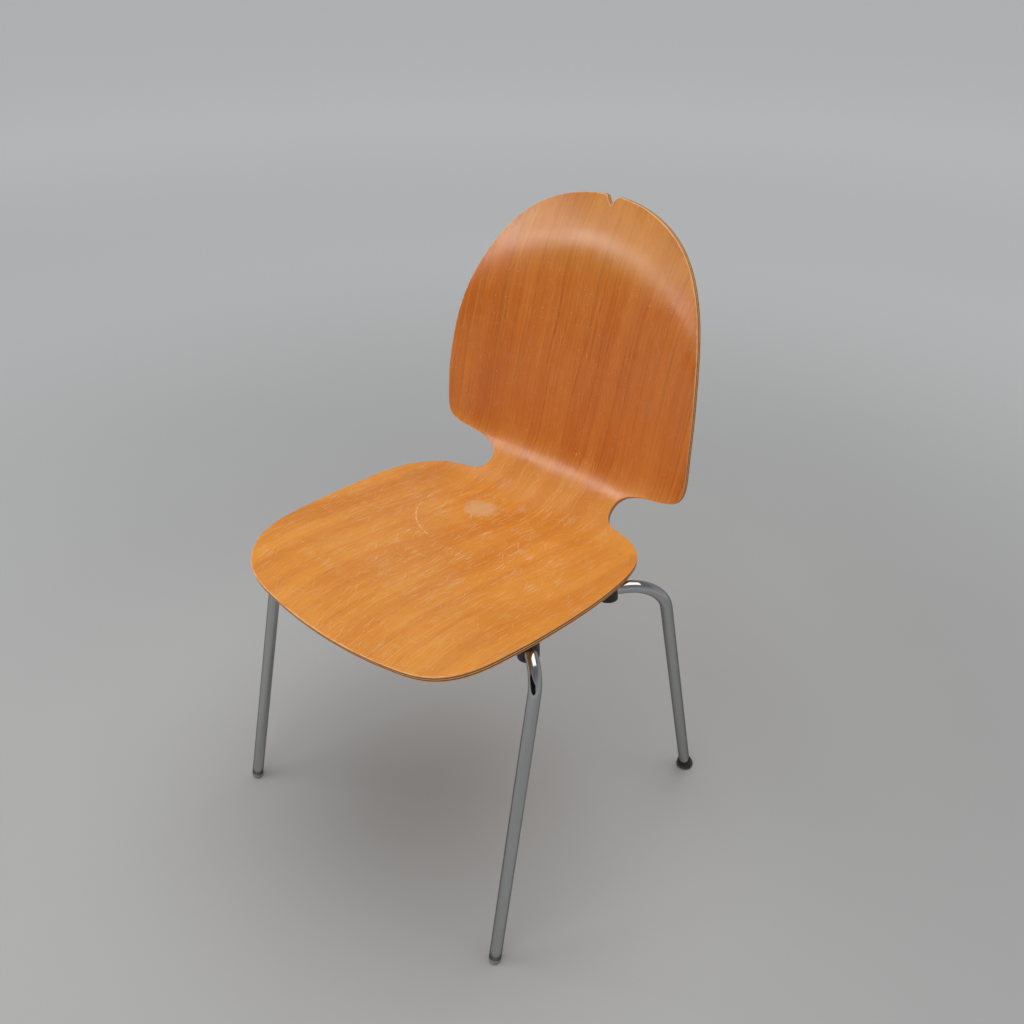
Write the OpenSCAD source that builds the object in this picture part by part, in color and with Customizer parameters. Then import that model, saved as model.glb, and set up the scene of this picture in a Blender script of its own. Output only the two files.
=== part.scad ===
// Stacking chair: a moulded plywood sheet on a frame of two bent chromed tubes.
// Millimetres. X to the sitter's left, Y to the back, Z up, floor at Z = 0.
// The origin is on the floor, at the centre of the chair's footprint box.
// Along the sheet, a station is the distance from its front edge on the centre line.

/* [Sheet] */
// Length of the sheet from its front edge to its top, along its curve
sheet_len = 838; // [828:1:848]
// Greatest width of the seat, as a spline width
seat_w = 431; // [416:1:446]
// Greatest width of the back, as a spline width
back_w = 419; // [400:1:438]
// Width of the narrow waist between seat and back, as a spline width
waist_w = 209; // [190:1:230]
// Thickness of the plywood
ply = 8.5; // [8:0.5:10]
// Height of the sheet's front edge at its middle
front_edge_h = 418; // [415:1:421]
// Station where the seat ends and the side notch starts
notch_start = 401; // [398:1:404]
// Station where the side notch ends and the back starts
notch_end = 465; // [461:1:469]

/* [Sheet curves] */
// Slope of the sheet at its front edge, rising, in degrees
lip_rise = 16.4; // [14:0.1:18]
// Slope of the seat down to the back, in degrees
seat_fall = 4.9; // [4.5:0.1:5.3]
// Slope of the back at its foot, in degrees
back_foot = 83.7; // [82:0.1:85]
// Slope of the back at its top, in degrees
back_top = 77.1; // [75:0.1:80]
// Radius of the seat's dish from side to side
seat_dish = 1884; // [1800:1:2000]
// Radius of the waist's dish from side to side
waist_dish = 1238; // [1100:1:1400]
// Radius of the back's dish from side to side
back_dish = 849; // [800:1:950]
// How far the rim at the top of the back turns away from the sitter, in degrees
head_roll = 14.5; // [12:0.1:16]

/* [Frame] */
// Outside diameter of the frame tubes
tube_d = 16; // [15:0.5:17]
// Wall of the frame tubes
tube_wall = 1.5; // [1.2:0.1:2]
// Bend radius at the front knees, to the middle of the tube
front_knee_r = 42; // [38:1:44]
// Bend radius at the rear knees, to the middle of the tube
rear_knee_r = 53.5; // [48:0.5:55]
// Bend radius at the elbows under the seat, to the middle of the tube
elbow_r = 55; // [45:1:60]
// Distance between the two front feet
front_foot_w = 482; // [470:1:495]
// Distance between the two rear feet
rear_foot_w = 490; // [480:1:500]
// Height of the front knees' corners
front_knee_h = 423; // [421:0.5:424]
// Height of the rear knees' corners
rear_knee_h = 409.5; // [408:0.5:410.5]

/* [Feet and pads] */
// Visible height of the plugs in the front tubes
plug_h = 6; // [5:0.5:8]
// Greatest diameter of the rear feet
boot_d = 25; // [23:0.5:27]
// Height of the rear feet
boot_h = 14; // [12:0.5:16]
// Diameter of the saddle pads between tube and sheet
pad_d = 27; // [25:0.5:30]
// How far the cheeks of the saddle pads reach below the tube
pad_cheek = 6; // [3:0.5:7]

/* [Seat plate] */
// Size of the steel seat plate from side to side
plate_w = 170; // [160:1:176]
// Size of the steel seat plate from front to back
plate_l = 62; // [60:1:66]
// Thickness of the steel seat plate
plate_t = 3; // [2.5:0.5:3]
// Thickness of the mounting block in its middle
block_t = 8; // [7:0.5:8]
// Distance between the screws from side to side
screw_span_x = 130; // [120:1:136]
// Distance between the screws from front to back
screw_span_y = 45; // [44.5:0.5:47]

/* [Hidden] */
$fn = 48;

// Colours
wood = [0.80, 0.47, 0.20];
birch = [0.80, 0.66, 0.46];
chrome = [0.80, 0.81, 0.83];
zinc = [0.62, 0.64, 0.66];
bare_steel = [0.45, 0.46, 0.47];
grey_plastic = [0.45, 0.46, 0.46];
black_plastic = [0.06, 0.06, 0.06];

// ---- Sheet: its curve from front to back ----

roll_end = 116;              // the front roll ends and the flat seat starts
bend_start = 356;            // the flat seat ends and the bend to the back starts
bend_end = 508;              // the bend ends and the slightly curved back starts
station_step = 2;
station_count = ceil(sheet_len / station_step) + 2;

// Slope of the centre line at a station: arcs are stretches of even change
function slope(s) = lookup(s, [[0, lip_rise], [roll_end, -seat_fall],
    [bend_start, -seat_fall], [bend_end, back_foot], [sheet_len, back_top]]);

// Points of the centre line as [station, y, z], from the front edge at y = 0
stations = [for (i = 0, y = 0, z = front_edge_h; i <= station_count;
    y = y + station_step * cos(slope((i + 0.5) * station_step)),
    z = z + station_step * sin(slope((i + 0.5) * station_step)), i = i + 1)
    [i * station_step, y, z]];
line_y = [for (p = stations) [p[0], p[1]]];
line_z = [for (p = stations) [p[0], p[2]]];

// Curvature of the dish from side to side
waist_mid = (bend_start + bend_end) / 2;
back_start = bend_end + 48;
function dish(s) = lookup(s, [[0, 1 / seat_dish], [bend_start * 2 / 3, 1 / seat_dish],
    [waist_mid, 1 / waist_dish], [back_start, 1 / back_dish], [sheet_len, 1 / back_dish]]);

// The rim of the head rolls back along an arch, and eases into the roll
roll_station = sheet_len - 113;
roll_arch = 0.0026;
roll_ease = 70;
head_slope = head_roll * PI / 180;
function past_roll(x, s) = s - roll_station + roll_arch * x * x;
function roll_back(e) = e < 0 ? 0
    : e < roll_ease ? head_slope * e * e / (2 * roll_ease)
    : head_slope * (e - roll_ease / 2);

// A point of the sheet: x across, s along, n above its upper face
function above(x, s, n) = x * x * dish(s) / 2 - roll_back(past_roll(x, s)) + n;
function raw_point(x, s, n) = [x, lookup(s, line_y) - sin(slope(s)) * above(x, s, n),
    lookup(s, line_z) + cos(slope(s)) * above(x, s, n)];

// ---- Sheet: its outline, a cubic spline through the plane of the developed sheet ----

seat_half = seat_w / 2;
back_half = back_w / 2;
waist_half = waist_w / 2;

// Control points of the right half from the front edge to the top, as [x, station]
half_outline = [
    [0.19 * seat_half, 0], [0.465 * seat_half, 7], [0.725 * seat_half, 15],
    [0.932 * seat_half, 56], [0.986 * seat_half, 145], [seat_half, 261],
    [0.959 * seat_half, notch_start - 46], [0.769 * seat_half, notch_start],
    [waist_half + 6, notch_start + 1], [waist_half, notch_start + 48],
    [0.698 * back_half, notch_end], [0.991 * back_half, notch_end + 1],
    [back_half, notch_end + 51], [0.979 * back_half, sheet_len - 229],
    [0.903 * back_half, sheet_len - 140], [0.704 * back_half, sheet_len - 58],
    [0.438 * back_half, sheet_len - 17], [0.152 * back_half, sheet_len]];
last = len(half_outline) - 1;
function control(i) = i < 0 ? [-half_outline[-i - 1][0], half_outline[-i - 1][1]]
    : i > last ? [-half_outline[2 * last + 1 - i][0], half_outline[2 * last + 1 - i][1]]
    : half_outline[i];
function spline(i, t) = (pow(1 - t, 3) * control(i - 1)
    + (3 * pow(t, 3) - 6 * t * t + 4) * control(i)
    + (-3 * pow(t, 3) + 3 * t * t + 3 * t + 1) * control(i + 1)
    + pow(t, 3) * control(i + 2)) / 6;
function rim(u) = spline(floor(u), u - floor(u));

// ---- Sheet: rows of points from rim to rim ----

first_u = 0.6;               // first row: the front edge itself
last_u = last - 0.4;         // last row: the top edge itself
row_count = 62;
column_count = 18;
front_s = spline(-1, 0.5)[1];
top_s = spline(last, 0.5)[1];
row_ends = [for (j = [0:row_count]) rim(first_u + (last_u - first_u) * j / row_count)];

// Stations of the rows on the centre line: an even mean of the ends beside them
smooth = 3;
function mean_end(j) = let (lo = max(0, j - smooth), hi = min(row_count, j + smooth))
    [for (k = lo, sum = 0; k <= hi + 1; sum = sum + (k <= hi ? row_ends[k][1] : 0), k = k + 1)
        if (k == hi + 1) sum][0] / (hi - lo + 1);
middle = [for (j = [0:row_count]) j == 0 ? front_s : j == row_count ? top_s
    : j <= smooth ? front_s + (mean_end(smooth + 1) - front_s) * j / (smooth + 1)
    : j >= row_count - smooth ? top_s - (top_s - mean_end(row_count - smooth - 1))
        * (row_count - j) / (smooth + 1)
    : mean_end(j)];

function row_point(j, i, n) = let (t = 2 * i / column_count - 1, x = t * row_ends[j][0],
    s = middle[j] + (row_ends[j][1] - middle[j]) * t * t) raw_point(x, s, n);
top_points = [for (j = [0:row_count], i = [0:column_count]) row_point(j, i, 0)];
under_points = [for (j = [0:row_count], i = [0:column_count]) row_point(j, i, -ply)];

// The chair is centred from front to back on the sheet's own extent
all_y = [for (p = concat(top_points, under_points)) p[1]];
front_y = -(min(all_y) + max(all_y)) / 2;
function to_chair(p) = p + [0, front_y, 0];
function sheet_point(x, s, n) = to_chair(raw_point(x, s, n));

// Station of the sheet above a place (x, y), and the directions of the sheet there
function station_at(x, y, n, s = 200, turns = 6) = turns == 0 ? s
    : station_at(x, y, n, s + (y - sheet_point(x, s, n)[1]) / cos(slope(s)), turns - 1);
function unit(v) = v / norm(v);
function sheet_normal(x, s) = unit(cross(sheet_point(x + 1, s, 0) - sheet_point(x - 1, s, 0),
    sheet_point(x, s + 1, 0) - sheet_point(x, s - 1, 0)));

// ---- Frame: corners of the two tubes, as points on the sitter's left ----

front_foot_y = 22 + front_y;
front_knee_y = 121 + front_y;
front_knee_x = 226;
rear_foot_y = 465 + front_y;
rear_knee_y = 354 + front_y;
rear_knee_x = 240;
tube_gap = 1;                // between the two tubes where they lie side by side
weld_gap = 0.1;              // between faces that are glued or welded together

// The seat plate's place: under the sheet, square to it
frame_mid_y = 209 + front_y;
plate_station = station_at(0, frame_mid_y, -ply);
plate_tilt = slope(plate_station);
plate_origin = sheet_point(0, plate_station, -ply);
tube_drop = block_t + plate_t + 3 * weld_gap + tube_d / 2;
tube_side = (tube_d + tube_gap) / 2;
function under_seat(x, y, n) = plate_origin
    + [x, y * cos(plate_tilt) - n * sin(plate_tilt), y * sin(plate_tilt) + n * cos(plate_tilt)];

front_foot = [front_foot_w / 2, front_foot_y, 0];
front_knee = [front_knee_x, front_knee_y, front_knee_h];
front_elbow = under_seat(94, -tube_side, -tube_drop);
rear_foot = [rear_foot_w / 2, rear_foot_y, 0];
rear_knee = [rear_knee_x, rear_knee_y, rear_knee_h];
rear_elbow = under_seat(102, tube_side, -tube_drop);

function mirrored(p) = [-p[0], p[1], p[2]];
function toward(p, q, d) = p + d * unit(q - p);
function bow(foot, knee, elbow, lift) = [toward(foot, knee, lift), knee, elbow,
    mirrored(elbow), mirrored(knee), toward(mirrored(foot), mirrored(knee), lift)];

// Height of the tube's cut end above the floor, along the tube
front_lift = plug_h;
rear_lift = 4;
front_path = bow(front_foot, front_knee, front_elbow, front_lift);
rear_path = bow(rear_foot, rear_knee, rear_elbow, rear_lift);
function bow_radii(knee_r) = [0, knee_r, elbow_r, elbow_r, knee_r, 0];

// Places a child whose own +Z points along the third column
module in_frame(origin, ex, ey, ez) {
    multmatrix([[ex[0], ey[0], ez[0], origin[0]], [ex[1], ey[1], ez[1], origin[1]],
        [ex[2], ey[2], ez[2], origin[2]], [0, 0, 0, 1]]) children();
}
function side_of(ez) = unit(cross(abs(ez[0]) < 0.9 ? [1, 0, 0] : [0, 1, 0], ez));
module along(origin, ez) {
    in_frame(origin, cross(side_of(ez), ez), side_of(ez), ez) children();
}

// Length of straight tube that a bend at a corner takes from each side
function heading_at(path, i) = unit(path[i + 1] - path[i]);
function turn_at(path, i) = acos(heading_at(path, i - 1) * heading_at(path, i));
function tangent_len(path, radii, i) = radii[i] * tan(turn_at(path, i) / 2);

// Places along one bend, each as [point, heading], an even angle apart
bend_step = 8;
function bend_places(path, radii, i) = let (before = heading_at(path, i - 1),
    after = heading_at(path, i), turn = turn_at(path, i), steps = ceil(turn / bend_step),
    inward = unit(after - (after * before) * before),
    centre = path[i] - tangent_len(path, radii, i) * before + radii[i] * inward)
    [for (k = [0:steps]) let (a = turn * k / steps)
        [centre - radii[i] * (cos(a) * inward - sin(a) * before), cos(a) * before + sin(a) * inward]];
function rod_places(path, radii) = concat([[path[0], heading_at(path, 0)]],
    [for (i = [1:len(path) - 2]) each bend_places(path, radii, i)],
    [[path[len(path) - 1], heading_at(path, len(path) - 2)]]);

// A direction across the rod at each place, carried along without twist
function level(v, heading) = unit(v - (v * heading) * heading);
function rod_sides(places) = [for (k = 0, v = side_of(places[0][1]); k < len(places);
    k = k + 1, v = k < len(places) ? level(v, places[k][1]) : v) v];

// A round rod of radius r along a path, with its corners bent
rod_facets = 30;
module bent_rod(path, radii, r) {
    places = rod_places(path, radii);
    sides = rod_sides(places);
    rings = len(places);
    points = [for (k = [0:rings - 1], f = [0:rod_facets - 1]) let (a = 360 * f / rod_facets)
        places[k][0] + r * (cos(a) * sides[k] + sin(a) * cross(places[k][1], sides[k]))];
    skin = [for (k = [0:rings - 2], f = [0:rod_facets - 1])
        let (a = k * rod_facets + f, b = k * rod_facets + (f + 1) % rod_facets)
        each [[a, a + rod_facets, b], [b, a + rod_facets, b + rod_facets]]];
    ends = [[for (f = [0:rod_facets - 1]) f],
        [for (f = [rod_facets - 1:-1:0]) (rings - 1) * rod_facets + f]];
    polyhedron(points, concat(skin, ends));
}

module frame_tube(path, knee_r, pad_places) {
    difference() {
        bent_rod(path, bow_radii(knee_r), tube_d / 2);
        bent_rod(longer(path), bow_radii(knee_r), tube_d / 2 - tube_wall);
        for (place = pad_places) along(place[0], place[1]) cylinder(d = peg_hole_d, h = tube_d);
    }
}

// The same path, run a little past both ends
function longer(path) = let (end = len(path) - 1) [for (i = [0:end])
    i == 0 ? toward(path[0], path[1], -1) : i == end ? toward(path[end], path[end - 1], -1) : path[i]];

// ---- Pads: where the tubes carry the sheet ----

front_pad_way = 37;          // from the front knee's corner along the arm
rear_pad_way = 71;           // from the rear knee's corner along the arm
peg_d = 5;
peg_hole_d = 5.2;
peg_depth = 4;
fit_gap = 0.1;

// A pad's place as [point on the tube's axis, direction up to the sheet]
function pad_place(knee, elbow, way) = let (p = toward(knee, elbow, way),
    s = station_at(p[0], p[1], -ply)) [p, sheet_normal(p[0], s)];
function pad_height(place) = let (p = place[0], s = station_at(p[0], p[1], -ply),
    under = sheet_point(p[0], s, -ply)) (under - p) * place[1];
front_pad = pad_place(front_knee, front_elbow, front_pad_way);
rear_pad = pad_place(rear_knee, rear_elbow, rear_pad_way);
function mirrored_place(place) = [mirrored(place[0]), mirrored(place[1])];

// ---- Sub-parts ----

// The moulded sheet: one closed skin of upper face, under face and rim
module seat_shell() {
    row = column_count + 1;
    under = len(top_points);
    top_faces = [for (j = [0:row_count - 1], i = [0:column_count - 1])
        let (a = j * row + i, b = a + 1, c = a + row + 1, d = a + row) each [[a, b, c], [a, c, d]]];
    under_faces = [for (f = top_faces) [f[2] + under, f[1] + under, f[0] + under]];
    loop = concat([for (i = [0:column_count - 1]) i],
        [for (j = [0:row_count - 1]) j * row + column_count],
        [for (i = [column_count:-1:1]) row_count * row + i],
        [for (j = [row_count:-1:1]) j * row]);
    rim_faces = [for (k = [0:len(loop) - 1]) let (a = loop[k], b = loop[(k + 1) % len(loop)])
        each [[a, b + under, b], [a, a + under, b + under]]];
    color(wood) polyhedron(
        [for (p = concat(top_points, under_points)) to_chair(p)],
        [for (f = concat(top_faces, under_faces, rim_faces)) [f[2], f[1], f[0]]]);
}

// Places children in the seat plate's own frame, with the sheet's under face at Z = 0
module at_plate() {
    translate(plate_origin) rotate([plate_tilt, 0, 0]) children();
}

module at_screws() {
    for (sx = [-1, 1], sy = [-1, 1])
        translate([sx * screw_span_x / 2, sy * screw_span_y / 2, 0]) children();
}

insert_d = 10;
screw_d = 6;
block_under = -block_t - weld_gap;
plate_top = block_under - weld_gap;
plate_under = plate_top - plate_t;
washer_t = 1.4;
head_h = 3.6;

// Plywood block glued under the sheet, its upper face shaped to the sheet's dish
module mounting_block() {
    rise = 6;
    half = plate_w / 2 + 10;
    color(birch) at_plate() difference() {
        intersection() {
            translate([0, 0, block_under]) rounded_block(plate_w + 14, plate_l + 12, block_t + rise);
            translate([0, plate_l, 0]) rotate([90, 0, 0]) linear_extrude(2 * plate_l)
                polygon(concat([[half, -2 * block_t], [-half, -2 * block_t]],
                    [for (k = [-8:8]) let (x = half * k / 8) [x, x * x / (2 * seat_dish) - weld_gap]]));
        }
        at_screws() translate([0, 0, block_under - 1]) cylinder(d = insert_d + fit_gap, h = 40);
    }
}

// A block with round corners, as two bars and four posts
module rounded_block(w, l, t) {
    r = 10;
    translate([-w / 2 + r, -l / 2, 0]) cube([w - 2 * r, l, t]);
    translate([-w / 2, -l / 2 + r, 0]) cube([w, l - 2 * r, t]);
    for (sx = [-1, 1], sy = [-1, 1])
        translate([sx * (w / 2 - r), sy * (l / 2 - r), 0]) cylinder(r = r, h = t);
}

module threaded_inserts() {
    color(zinc) at_plate() at_screws() difference() {
        translate([0, 0, block_under]) cylinder(d = insert_d, h = block_t - 0.2);
        translate([0, 0, block_under - 1]) cylinder(d = screw_d + fit_gap, h = block_t + 2);
    }
}

module seat_plate() {
    color(bare_steel) at_plate() difference() {
        translate([0, 0, plate_under]) rounded_block(plate_w, plate_l, plate_t);
        at_screws() translate([0, 0, plate_under - 1]) cylinder(d = screw_d + 0.6, h = plate_t + 2);
    }
}

module frame_screws() {
    seat = plate_under - washer_t - 2 * weld_gap;
    socket_d = 4;
    color(zinc) at_plate() at_screws() difference() {
        union() {
            translate([0, 0, seat]) cylinder(d = screw_d, h = 11.5);
            translate([0, 0, seat - head_h]) pan_head();
        }
        translate([0, 0, seat - head_h - 1]) cylinder(d = socket_d, h = 3.2, $fn = 6);
    }
}

// Low domed head, flat where it meets the washer
module pan_head() {
    rotate_extrude() polygon([[0, 0], [3.2, 0], [4.4, 0.5], [5.1, 1.4], [5.3, 2.4],
        [5.3, head_h], [0, head_h]]);
}

module spring_washers() {
    color(zinc) at_plate() at_screws()
        translate([0, 0, plate_under - washer_t - weld_gap]) difference() {
            cylinder(d = 11, h = washer_t);
            translate([0, 0, -1]) cylinder(d = screw_d + 0.4, h = washer_t + 2);
        }
}

// Fillets where the plate meets the outer sides of the two tubes
module weld_beads() {
    bead_l = 26;
    bead_r = 3;
    corner = tube_side + tube_d / 2 - 0.6;
    color(bare_steel) difference() {
        at_plate() for (x = [-46, 0, 46], sy = [-1, 1])
            translate([x - bead_l / 2, sy * corner, plate_under - weld_gap - 1.2])
                rotate([0, 90, 0]) cylinder(r = bead_r, h = bead_l);
        at_plate() translate([-plate_w, -plate_l, plate_under - weld_gap / 2])
            cube([2 * plate_w, 2 * plate_l, 20]);
        at_plate() for (sy = [-1, 1]) translate([-plate_w, sy * tube_side, plate_under
            - weld_gap - tube_d / 2]) rotate([0, 90, 0]) cylinder(d = tube_d + fit_gap, h = 2 * plate_w);
    }
}

module frame_tube_front() {
    color(chrome) frame_tube(front_path, front_knee_r, [front_pad, mirrored_place(front_pad)]);
}

module frame_tube_rear() {
    color(chrome) frame_tube(rear_path, rear_knee_r, [rear_pad, mirrored_place(rear_pad)]);
}

// A round pad that snaps over a tube's arm with two cheeks, and has a peg in the tube's hole
module seat_pad(place, foot, knee, elbow, knee_r) {
    height = pad_height(place);
    low = tube_d / 2 + pad_cheek;
    mouth = tube_d - 2;
    side = unit(cross(elbow - knee, place[1]));
    color(black_plastic) {
        difference() {
            along(place[0], place[1]) translate([0, 0, -low])
                cylinder(d = pad_d, h = height + low - fit_gap);
            bent_rod([foot, knee, elbow], [0, knee_r, 0], tube_d / 2 + fit_gap);
            in_frame(place[0], side, cross(place[1], side), place[1])
                translate([-mouth / 2, -pad_d, -low - 1]) cube([mouth, 2 * pad_d, low - 1]);
        }
        along(place[0], place[1]) translate([0, 0, tube_d / 2 - peg_depth])
            cylinder(d = peg_d, h = height - tube_d / 2 + peg_depth - 2 * fit_gap);
    }
}

module seat_pad_front_left() { seat_pad(front_pad, front_foot, front_knee, front_elbow, front_knee_r); }
module seat_pad_front_right() {
    seat_pad(mirrored_place(front_pad), mirrored(front_foot), mirrored(front_knee),
        mirrored(front_elbow), front_knee_r);
}
module seat_pad_rear_left() { seat_pad(rear_pad, rear_foot, rear_knee, rear_elbow, rear_knee_r); }
module seat_pad_rear_right() {
    seat_pad(mirrored_place(rear_pad), mirrored(rear_foot), mirrored(rear_knee),
        mirrored(rear_elbow), rear_knee_r);
}

// Keeps what is above the floor
module on_floor() {
    intersection() {
        children();
        translate([-400, -400, 0]) cube([800, 800, 100]);
    }
}

// A plug in the tube's end: a stem inside and a rim as wide as the tube
module foot_plug(foot, knee) {
    stem_l = 20;
    rim_r = tube_d / 2;
    round_r = 3;
    color(grey_plastic) on_floor() along(foot, unit(knee - foot)) {
        translate([0, 0, plug_h - fit_gap]) cylinder(r = rim_r - tube_wall - fit_gap, h = stem_l);
        rotate_extrude() union() {
            translate([0, -1]) square([rim_r - round_r, plug_h + 1 - fit_gap]);
            translate([0, -1 + round_r]) square([rim_r, plug_h + 1 - fit_gap - round_r]);
            translate([rim_r - round_r, -1 + round_r]) circle(round_r);
        }
    }
}

// A black boot that widens towards the floor and takes the tube's end in its socket
module foot_boot(foot, knee) {
    top_r = tube_d / 2 + 1.6;
    wide_r = boot_d / 2;
    color(black_plastic) on_floor() along(foot, unit(knee - foot)) difference() {
        rotate_extrude() polygon([[0, -3], [wide_r - 3, -3], [wide_r - 0.8, -1], [wide_r, 1.5],
            [wide_r - 0.2, 4.5], [wide_r - 1.2, 7], [top_r + 0.8, boot_h - 2.4],
            [top_r, boot_h - 0.6], [top_r - 0.6, boot_h], [0, boot_h]]);
        translate([0, 0, rear_lift - fit_gap]) cylinder(r = tube_d / 2 + fit_gap, h = boot_h);
    }
}

module foot_front_left() { foot_plug(front_foot, front_knee); }
module foot_front_right() { foot_plug(mirrored(front_foot), mirrored(front_knee)); }
module foot_rear_left() { foot_boot(rear_foot, rear_knee); }
module foot_rear_right() { foot_boot(mirrored(rear_foot), mirrored(rear_knee)); }

seat_shell();
mounting_block();
threaded_inserts();
seat_plate();
frame_screws();
spring_washers();
weld_beads();
frame_tube_front();
frame_tube_rear();
seat_pad_front_left();
seat_pad_front_right();
seat_pad_rear_left();
seat_pad_rear_right();
foot_front_left();
foot_front_right();
foot_rear_left();
foot_rear_right();
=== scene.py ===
"""Looks of the stacking chair: its veneered shell, chromed bows, pads, feet and seat hardware.

The design functions work in millimetres, in the frame of the CAD model, and every mesh is
made in metres. A station is the distance along the shell from its front edge.
"""

import math
import random

import bmesh
import bpy
import numpy as np
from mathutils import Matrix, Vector, noise


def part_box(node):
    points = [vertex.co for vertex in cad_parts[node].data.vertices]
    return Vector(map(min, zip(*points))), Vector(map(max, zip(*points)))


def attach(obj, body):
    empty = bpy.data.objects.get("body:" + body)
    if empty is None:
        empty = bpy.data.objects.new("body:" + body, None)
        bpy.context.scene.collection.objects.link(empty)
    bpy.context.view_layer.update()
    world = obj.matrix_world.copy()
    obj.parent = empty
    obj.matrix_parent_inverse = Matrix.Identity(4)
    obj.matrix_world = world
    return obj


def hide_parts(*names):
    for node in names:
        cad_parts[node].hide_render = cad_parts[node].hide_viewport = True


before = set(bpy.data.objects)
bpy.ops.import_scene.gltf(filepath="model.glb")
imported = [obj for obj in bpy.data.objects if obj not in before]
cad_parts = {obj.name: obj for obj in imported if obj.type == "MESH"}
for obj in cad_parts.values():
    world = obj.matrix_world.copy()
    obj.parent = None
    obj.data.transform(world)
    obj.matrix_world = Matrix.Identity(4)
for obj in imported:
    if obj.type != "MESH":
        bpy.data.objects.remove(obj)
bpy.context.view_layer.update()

MM = 0.001

# ---- Driving dimensions, as in the CAD model ----

SHEET_LEN = 838
SEAT_HALF = 431 / 2
BACK_HALF = 419 / 2
WAIST_HALF = 209 / 2
PLY = 8.5
FRONT_EDGE_H = 418
NOTCH_START = 401
NOTCH_END = 465
SLOPES = {0: 16.4, 116: -4.9, 356: -4.9, 508: 83.7, SHEET_LEN: 77.1}
SEAT_DISH = 1884
DISHES = {0: SEAT_DISH, 237: SEAT_DISH, 432: 1238, 556: 849, SHEET_LEN: 849}
ROLL_STATION = SHEET_LEN - 113
ROLL_ARCH = 0.0026
ROLL_EASE = 70
HEAD_SLOPE = math.radians(14.5)

TUBE_D = 16
TUBE_WALL = 1.5
FRONT_KNEE_R = 42
REAR_KNEE_R = 53.5
ELBOW_R = 55
TUBE_GAP = 1
PLATE_SIZE = (170, 62, 3)
PLATE_CORNER_R = 10
BLOCK_MARGIN = (14, 12)
BLOCK_T = 8
INSERT_HOLE_D = 10.1
SCREW_SPAN = (130, 45)
SCREW_D = 6
SCREW_HOLE_D = 6.6
SCREW_LEN = 11
WASHER_T = 1.4
HEAD_H = 3.6
SOCKET_DEPTH = 2.2
WELD_GAP = 0.1
WELD_LEN = 26
WELD_R = 3
WELD_PLACES = (-46, 0, 46)
FIT_GAP = 0.1
PLUG_H = 6
PLUG_STEM = 20
BOOT_LIFT = 4
BOOT_D = 25
BOOT_H = 14
BOOT_WALL = 1.6
PAD_D = 27
PAD_CHEEK = 6
PAD_MOUTH = TUBE_D - 2


# ---- The shell's surface ----

LINE_STEP = 0.25
line_s = np.arange(0, SHEET_LEN + 12, LINE_STEP)


def slope(s):
    return np.radians(np.interp(s, list(SLOPES), list(SLOPES.values())))


def dish(s):
    return np.interp(s, list(DISHES), [1 / r for r in DISHES.values()])


def roll_back(past):
    """How far the head's rim turns away from the sitter, past the start of its roll."""
    eased = HEAD_SLOPE * past**2 / (2 * ROLL_EASE)
    full = HEAD_SLOPE * (past - ROLL_EASE / 2)
    return np.where(past < 0, 0, np.where(past < ROLL_EASE, eased, full))


middle_slopes = slope(line_s[:-1] + LINE_STEP / 2)
line_y = np.r_[0, np.cumsum(np.cos(middle_slopes) * LINE_STEP)]
line_z = FRONT_EDGE_H + np.r_[0, np.cumsum(np.sin(middle_slopes) * LINE_STEP)]
front_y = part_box("seat_shell")[0].y / MM


def sheet_point(x, s, n):
    """A point x across, s along and n above the shell's upper face."""
    x, s = np.asarray(x, float), np.asarray(s, float)
    rise = x * x * dish(s) / 2 - roll_back(s - ROLL_STATION + ROLL_ARCH * x * x) + n
    y = np.interp(s, line_s, line_y) - np.sin(slope(s)) * rise + front_y
    z = np.interp(s, line_s, line_z) + np.cos(slope(s)) * rise
    return np.stack([x + 0 * s, y, z], -1)


def station_at(x, y, n):
    """The station whose point at x and n lies at y, on the seat."""
    s = 200.0
    for _ in range(6):
        s += (y - sheet_point(x, s, n)[1]) / math.cos(slope(s))
    return s


def unit(v):
    return np.asarray(v, float) / np.linalg.norm(v)


def sheet_normal(x, s):
    across = sheet_point(x + 1, s, 0) - sheet_point(x - 1, s, 0)
    return unit(np.cross(across, sheet_point(x, s + 1, 0) - sheet_point(x, s - 1, 0)))


# ---- The shell's outline ----

HALF_OUTLINE = [
    (0.19 * SEAT_HALF, 0), (0.465 * SEAT_HALF, 7), (0.725 * SEAT_HALF, 15),
    (0.932 * SEAT_HALF, 56), (0.986 * SEAT_HALF, 145), (SEAT_HALF, 261),
    (0.959 * SEAT_HALF, NOTCH_START - 46), (0.769 * SEAT_HALF, NOTCH_START),
    (WAIST_HALF + 6, NOTCH_START + 1), (WAIST_HALF, NOTCH_START + 48),
    (0.698 * BACK_HALF, NOTCH_END), (0.991 * BACK_HALF, NOTCH_END + 1),
    (BACK_HALF, NOTCH_END + 51), (0.979 * BACK_HALF, SHEET_LEN - 229),
    (0.903 * BACK_HALF, SHEET_LEN - 140), (0.704 * BACK_HALF, SHEET_LEN - 58),
    (0.438 * BACK_HALF, SHEET_LEN - 17), (0.152 * BACK_HALF, SHEET_LEN)]
controls = np.array(HALF_OUTLINE)
controls = np.vstack([controls, controls[::-1] * [-1, 1]])


def rim(u):
    """Points of the closed outline spline, as rows of [x, station]."""
    u = np.atleast_1d(u)
    i, t = np.floor(u).astype(int), u - np.floor(u)
    weights = [(1 - t)**3, 3 * t**3 - 6 * t**2 + 4, -3 * t**3 + 3 * t**2 + 3 * t + 1, t**3]
    return sum(w[:, None] * controls[(i + k) % len(controls)]
               for k, w in zip((-1, 0, 1, 2), weights)) / 6


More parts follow.
